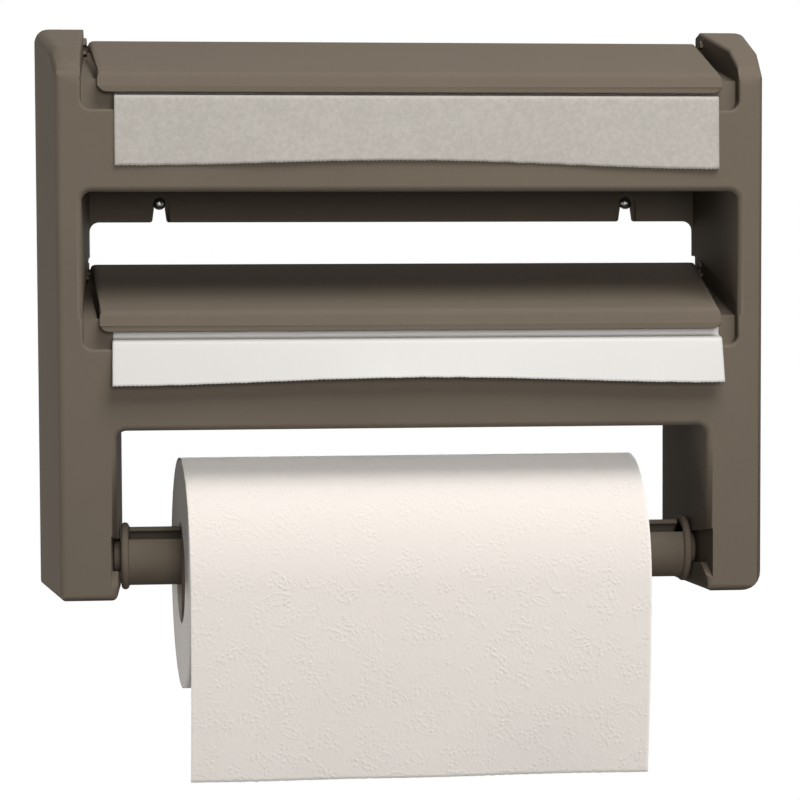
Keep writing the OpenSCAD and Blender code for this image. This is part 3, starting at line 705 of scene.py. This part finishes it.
class DISPENSER_OT_wall_screws(Operator):
    """Models the two wall screws with a cross recess and a thread"""
    bl_idname = "dispenser.wall_screws"
    bl_label = "Wall screws"

    def execute(self, context):
        settings = context.scene.dispenser_metal
        steel = brushed_metal("turned_screw_steel", settings.screw, (1, 0.05, 1), 0.24)
        low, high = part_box("wall_screws")
        head_r = (high.z - low.z) / 2
        screw_x = high.x - head_r
        bm = bmesh.new()
        for x in (-screw_x, screw_x):
            add_screw(bm, x, -low.y, high.y, head_r, settings)
        piece = finished_piece("hung_screws", bm, "frame", steel, ["wall_screws"])
        cut_recess(piece, screw_x, -low.y, settings.recess, head_r)
        return {"FINISHED"}


def add_screw(bm, x, front, tip, head_r, settings):
    """Round head, plain neck and pointed shank, turned about Y, and its thread."""
    head_h = 2.1 * MM
    neck_r, shank_r, thread_r, point_l = 2.2 * MM, 1.55 * MM, 2.0 * MM, 5 * MM
    crown_r = (head_r ** 2 + head_h ** 2) / (2 * head_h)
    crown = [(crown_r * math.sin(t), front - crown_r + crown_r * math.cos(t))
             for t in [math.asin(head_r / crown_r) * i / 8 for i in range(9)]]
    body = [(neck_r, front - head_h), (neck_r, 0.0), (shank_r, 0.0), (shank_r, point_l - tip), (0.0, -tip)]
    geom = chain(bm, [(x + r, -d, 0) for r, d in crown + body])
    bmesh.ops.spin(bm, geom=geom, cent=(x, 0, 0), axis=(0, 1, 0), angle=math.tau, steps=SCREW_STEPS,
                   use_merge=True, dvec=(0, 0, 0))
    pitch = settings.thread_pitch
    turns = (tip - point_l) / pitch - 1
    steps = round(turns * THREAD_STEPS)
    root_r, foot = shank_r - 0.05 * MM, pitch * 0.30
    ridge = [(root_r, foot), (thread_r, 0.0), (root_r, -foot)]
    geom = chain(bm, [(x + r, pitch * 0.5 + y, 0) for r, y in ridge], closed=True)
    bmesh.ops.spin(bm, geom=geom, cent=(x, 0, 0), axis=(0, 1, 0), angle=math.tau * turns, steps=steps,
                   dvec=(0, pitch * turns / steps, 0))
    bmesh.ops.remove_doubles(bm, verts=bm.verts, dist=WELD)
    bmesh.ops.holes_fill(bm, edges=[e for e in bm.edges if e.is_boundary], sides=3)
    bmesh.ops.recalc_face_normals(bm, faces=bm.faces)


def cut_recess(piece, screw_x, front, width, head_r):
    """Cuts a tapered cross into both screw heads."""
    bm = bmesh.new()
    reach, deep = head_r * 0.62, 1.3 * MM
    for x in (-screw_x, screw_x):
        for turn in (math.radians(20), math.radians(110)):
            blade = bmesh.ops.create_cube(bm, size=1.0)["verts"]
            bmesh.ops.scale(bm, verts=blade, vec=(2 * reach, 2 * deep, width))
            inner = [v for v in blade if v.co.y > 0]
            bmesh.ops.scale(bm, verts=inner, vec=(0.45, 1, 0.7))
            bmesh.ops.rotate(bm, verts=blade, cent=(0, 0, 0), matrix=Matrix.Rotation(turn, 3, "Y"))
            bmesh.ops.translate(bm, verts=blade, vec=(x, -front, 0))
    mesh = bpy.data.meshes.new("recess_cutter")
    bm.to_mesh(mesh)
    bm.free()
    cutter = bpy.data.objects.new("recess_cutter", mesh)
    bpy.context.scene.collection.objects.link(cutter)
    modifier = piece.modifiers.new("recess", "BOOLEAN")
    modifier.object = cutter
    modifier.solver = "EXACT"
    modifier.use_self = True
    graph = bpy.context.evaluated_depsgraph_get()
    cut = bpy.data.meshes.new_from_object(piece.evaluated_get(graph))
    piece.modifiers.clear()
    piece.data = cut
    cut.set_sharp_from_angle(angle=SMOOTH_ANGLE)
    bpy.data.objects.remove(cutter)


class DISPENSER_OT_trough_rolls(Operator):
    """Winds the two rolls in the troughs on their cardboard cores"""
    bl_idname = "dispenser.trough_rolls"
    bl_label = "Trough rolls"

    def execute(self, context):
        settings = context.scene.dispenser_paper
        for body, tint in (("parchment", settings.parchment), ("wrap", settings.wrap)):
            axis_at = joint_at(body + "_spin")
            paper = wound_paper(body + "_turns", tint, axis_at, 0.5 * MM)
            wound_roll(body + "_roll", body + "_winding", body, axis_at, 0.8 * MM, paper)
            dress_node(body + "_core", core_board(settings, body + "_core_board", axis_at))
        return {"FINISHED"}


class DISPENSER_OT_trough_sheets(Operator):
    """Leads a sheet from each trough roll over the ledge and out under the lip"""
    bl_idname = "dispenser.trough_sheets"
    bl_label = "Trough sheets"

    def execute(self, context):
        settings = context.scene.dispenser_paper
        parchment = parchment_paper(settings)
        wrap = smooth_wrap(settings)
        sheet = trough_sheet(settings, "top", "parchment", settings.parchment_width,
                             settings.parchment_fold, settings.parchment_tilt, 3.0)
        finish_sheet(sheet, "parchment", parchment, settings.parchment_width, settings)
        sheet = trough_sheet(settings, "middle", "wrap", settings.wrap_width,
                             settings.wrap_fold, settings.wrap_tilt, 8.0)
        finish_sheet(sheet, "wrap", wrap, settings.wrap_width, settings)
        return {"FINISHED"}


def trough_sheet(settings, lid, body, width, fold_drop, tilt, seed):
    """One sheet: off its roll, over the ledge, down behind the lip and hanging free."""
    tail_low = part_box(body + "_tail")[0]
    lip_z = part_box(lid + "_lid")[0].z
    behind_strip = -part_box(lid + "_tear_strip")[1].y
    front = -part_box("main_frame")[0].y
    hinge = joint_at(lid + "_lid_hinge")
    axis_at = joint_at(body + "_spin")
    roll_low, roll_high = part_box(body + "_roll")
    gap = settings.clearance
    ledge = Vector((behind_strip - 2 * gap, hinge.y - settings.ledge_drop + 1.2 * gap))
    radius = (roll_high.z - roll_low.z) / 2 + gap
    aim = ledge - axis_at
    leave = math.atan2(aim.y, aim.x) + math.acos(radius / aim.length)
    off_roll = axis_at + radius * Vector((math.cos(leave), math.sin(leave)))
    flare = -tail_low.y - gap
    fold = Vector((front + gap, lip_z - fold_drop))
    corners = [off_roll, ledge, Vector((ledge.x, fold.y + 1.2 * MM)), fold, Vector((flare, tail_low.z))]
    route = rounded_route(corners, 1.5 * MM, 1.6 * MM)
    half = width / 2
    bm, along, long = swept_sheet(route, settings.shift - half, settings.shift + half, SHEET_COLUMNS)
    free = route_lengths(corners)[3]
    for vert in bm.verts:
        share = max(0.0, (vert[along] - free) / (long - free))
        across = (vert.co.x - settings.shift) / half
        ripple = noise.noise(Vector((vert.co.x * 22, seed, 0))) + 0.4 * math.sin(across * 5 + seed)
        vert.co.y -= settings.wave * ripple * share * share
        fringe = noise.noise(Vector((vert.co.x * 160, seed, 3)))
        arch = settings.torn_rise / 2 * (1 + math.cos(math.pi * across)) - tilt / 2 * across
        tooth = settings.tooth * (round((across + 1) / 2 * SHEET_COLUMNS) % 2)
        vert.co.z += (arch + 0.25 * MM * fringe) * share + tooth * share ** 12
    return bm, long


def finish_sheet(sheet, body, material, width, settings):
    bm, long = sheet
    piece = finished_piece(body + "_sheet", bm, "frame", material, [body + "_tail"])
    thicken(piece, settings.thickness)


class DISPENSER_OT_towel_rod(Operator):
    """Rounds the edges of the rod that carries the towel roll"""
    bl_idname = "dispenser.towel_rod"
    bl_label = "Towel rod"

    def execute(self, context):
        edge = context.scene.dispenser_moulding.rod_edge
        moulded_piece(moulded_mesh("towel_rod"), "towel_rod", "rod_channel", "towel_rod", edge,
                      moulding_finish(context))
        return {"FINISHED"}


class DISPENSER_OT_towel_roll(Operator):
    """Winds the towel roll on its core"""
    bl_idname = "dispenser.towel_roll"
    bl_label = "Towel roll"

    def execute(self, context):
        settings = context.scene.dispenser_towel
        axis_at = joint_at("towel_spin")
        paper = wound_paper("towel_turns", settings.towel, axis_at, 0.9 * MM)
        roll = wound_roll("towel_roll", "towel_winding", "towel", axis_at, 1.4 * MM, paper)
        slant_ends(roll.data.vertices, axis_at, settings)
        board = core_board(context.scene.dispenser_paper, "towel_core_board", axis_at)
        dress_node("towel_core", board)
        return {"FINISHED"}


def slant_ends(verts, axis_at, settings):
    """Widens the roll a little, and slants its left end as on a loosely hung roll."""
    low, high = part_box("towel_roll")
    left, right = low.x - settings.left_over, high.x + settings.right_over
    for vert in verts:
        share = (high.x - vert.co.x) / (high.x - low.x)
        lean = settings.slant * (-vert.co.y - axis_at.x)
        vert.co.x = right + (left - right + lean) * share


class DISPENSER_OT_towel_sheet(Operator):
    """Lays the last turn of towel round the roll and lets its end hang"""
    bl_idname = "dispenser.towel_sheet"
    bl_label = "Towel sheet"

    def execute(self, context):
        settings = context.scene.dispenser_towel
        axis_at = joint_at("towel_spin")
        low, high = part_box("towel_tail")
        reach = -low.y - axis_at.x - settings.thickness
        hang = axis_at.y - low.z
        turns = [settings.lap * (1 - i / LAP_STEPS) for i in range(LAP_STEPS)]
        route = [axis_at + (reach - 0.3 * MM * a / settings.lap) * Vector((math.cos(a), math.sin(a)))
                 for a in turns]
        route += [axis_at + Vector((reach - settings.curl * t * t, -hang * t))
                  for t in [i / HANG_STEPS for i in range(HANG_STEPS + 1)]]
        bm, along, long = swept_sheet(route, low.x, high.x, TOWEL_COLUMNS)
        for vert in bm.verts:
            share = max(0.0, (vert[along] - long + hang) / hang)
            ripple = noise.noise(Vector((vert.co.x * 18, 5.0, share * 1.5)))
            vert.co.y += 1.6 * MM * ripple * share * share
            vert.co.z += 0.3 * MM * noise.noise(Vector((vert.co.x * 400, 2.0, 1.0))) * share ** 12
        slant_ends(bm.verts, axis_at, settings)
        towel = embossed_towel(settings)
        piece = finished_piece("towel_sheet", bm, "towel_rod", towel, ["towel_tail"])
        thicken(piece, settings.thickness)
        return {"FINISHED"}


# Stage


class DISPENSER_OT_stage(Operator):
    """Sets the camera, the soft lights, the pale floor and the white surroundings"""
    bl_idname = "dispenser.stage"
    bl_label = "Stage"

    def execute(self, context):
        settings = context.scene.dispenser_stage
        add_camera(context, settings)
        centre = (cad_box[0] + cad_box[1]) / 2
        add_softbox(context, "key_softbox", settings.key, centre + Vector((0.40, -0.85, 1.40)), centre, 1.0)
        add_softbox(context, "front_fill", settings.fill, centre + Vector((0.08, -1.9, 0.30)), centre, 0.7)
        add_softbox(context, "side_reflector", settings.side, centre + Vector((-1.4, -0.12, -0.26)),
                    centre, 0.4)
        behind = add_softbox(context, "back_fill", settings.back, centre + Vector((0.1, 1.6, 0.1)),
                             centre, 0.7)
        behind.visible_glossy = False
        add_surroundings(context, settings)
        add_floor(context, cad_box[0].z - settings.floor_drop)
        context.scene.view_settings.view_transform = "Standard"
        return {"FINISHED"}


def add_camera(context, settings):
    """Camera turned by yaw, pitch and roll from looking along +Y."""
    camera = bpy.data.cameras.new("camera")
    camera.sensor_width = 36.0
    camera.lens = settings.lens
    camera.clip_start, camera.clip_end = 0.01, 100.0
    holder = bpy.data.objects.new("camera", camera)
    context.scene.collection.objects.link(holder)
    turn = (Matrix.Rotation(-settings.yaw, 4, "Z") @ Matrix.Rotation(math.pi / 2 + settings.pitch, 4, "X")
            @ Matrix.Rotation(settings.roll, 4, "Z"))
    holder.matrix_world = Matrix.Translation(settings.camera_at) @ turn
    context.scene.camera = holder


def add_softbox(context, name, power, place, target, size):
    light = bpy.data.lights.new(name, "AREA")
    light.energy = power
    light.size = size
    holder = bpy.data.objects.new(name, light)
    holder.visible_camera = False
    context.scene.collection.objects.link(holder)
    aim = (target - place).to_track_quat("-Z", "Y")
    holder.matrix_world = Matrix.Translation(place) @ aim.to_matrix().to_4x4()
    return holder


def add_surroundings(context, settings):
    """White where it is seen, and a low even light elsewhere."""
    world = bpy.data.worlds.new("surroundings")
    context.scene.world = world
    shades = Shades(world)
    tint = shades.mix(shades.seen_directly(), (settings.ambient,) * 3, (1.0, 1.0, 1.0))
    light = shades.node("ShaderNodeBackground", {}, {"Color": tint})
    shades.node("ShaderNodeOutputWorld", {}, {"Surface": shades.signal(light, "Background")})


def add_floor(context, height):
    """Pale floor that fades into the white surroundings away from the object."""
    bm = bmesh.new()
    bmesh.ops.create_grid(bm, x_segments=1, y_segments=1, size=20.0)
    bmesh.ops.translate(bm, verts=bm.verts, vec=(0, 0, height))
    mesh = bpy.data.meshes.new("pale_floor")
    bm.to_mesh(mesh)
    bm.free()
    floor = bpy.data.objects.new("pale_floor", mesh)
    context.scene.collection.objects.link(floor)
    finish = Finish("pale_floor", **{"Specular IOR Level": 0.0, "Roughness": 1.0})
    seen = finish.seen_directly()
    x, y = finish.parts(finish.place())[:2]
    fade_from, fade_to = 0.5, 1.2
    away = finish.ramp(finish.maths("POWER", x * x + y * y, 0.5), fade_from, fade_to)
    finish.set(Base_Color=finish.mix(seen, (0.12, 0.12, 0.12), (0.9, 0.9, 0.9)))
    white = finish.node("ShaderNodeEmission", {}, {"Color": (1.0, 1.0, 1.0), "Strength": 1.0})
    both = finish.node("ShaderNodeMixShader", {}, {
        "Fac": seen * away, 1: finish.signal(finish.shader, "BSDF"), 2: finish.signal(white, "Emission")})
    finish.plug(finish.signal(both, "Shader"), finish.output.inputs["Surface"])
    mesh.materials.append(finish.material)


class DISPENSER_PT_pieces(Panel):
    """Lists the steps that dress the dispenser"""
    bl_idname = "DISPENSER_PT_pieces"
    bl_label = "Wall dispenser"
    bl_space_type = "VIEW_3D"
    bl_region_type = "UI"
    bl_category = "Dispenser"

    def draw(self, context):
        for step in STEPS:
            self.layout.operator(step.bl_idname)


SETTINGS = {
    "dispenser_moulding": MouldingSettings,
    "dispenser_paper": PaperSettings,
    "dispenser_towel": TowelSettings,
    "dispenser_metal": MetalSettings,
    "dispenser_stage": StageSettings,
}
STEPS = (
    DISPENSER_OT_stage,
    DISPENSER_OT_frame,
    DISPENSER_OT_lids,
    DISPENSER_OT_tear_strips,
    DISPENSER_OT_wall_screws,
    DISPENSER_OT_trough_rolls,
    DISPENSER_OT_trough_sheets,
    DISPENSER_OT_towel_rod,
    DISPENSER_OT_towel_roll,
    DISPENSER_OT_towel_sheet,
)


def register():
    for group in SETTINGS.values():
        bpy.utils.register_class(group)
    for name, group in SETTINGS.items():
        setattr(bpy.types.Scene, name, PointerProperty(type=group))
    for step in STEPS:
        bpy.utils.register_class(step)
    bpy.utils.register_class(DISPENSER_PT_pieces)


def unregister():
    bpy.utils.unregister_class(DISPENSER_PT_pieces)
    for step in reversed(STEPS):
        bpy.utils.unregister_class(step)
    for name in SETTINGS:
        delattr(bpy.types.Scene, name)
    for group in reversed(SETTINGS.values()):
        bpy.utils.unregister_class(group)


def main():
    register()
    for step in STEPS:
        group, name = step.bl_idname.split(".")
        getattr(getattr(bpy.ops, group), name)()


if __name__ == "__main__":
    main()
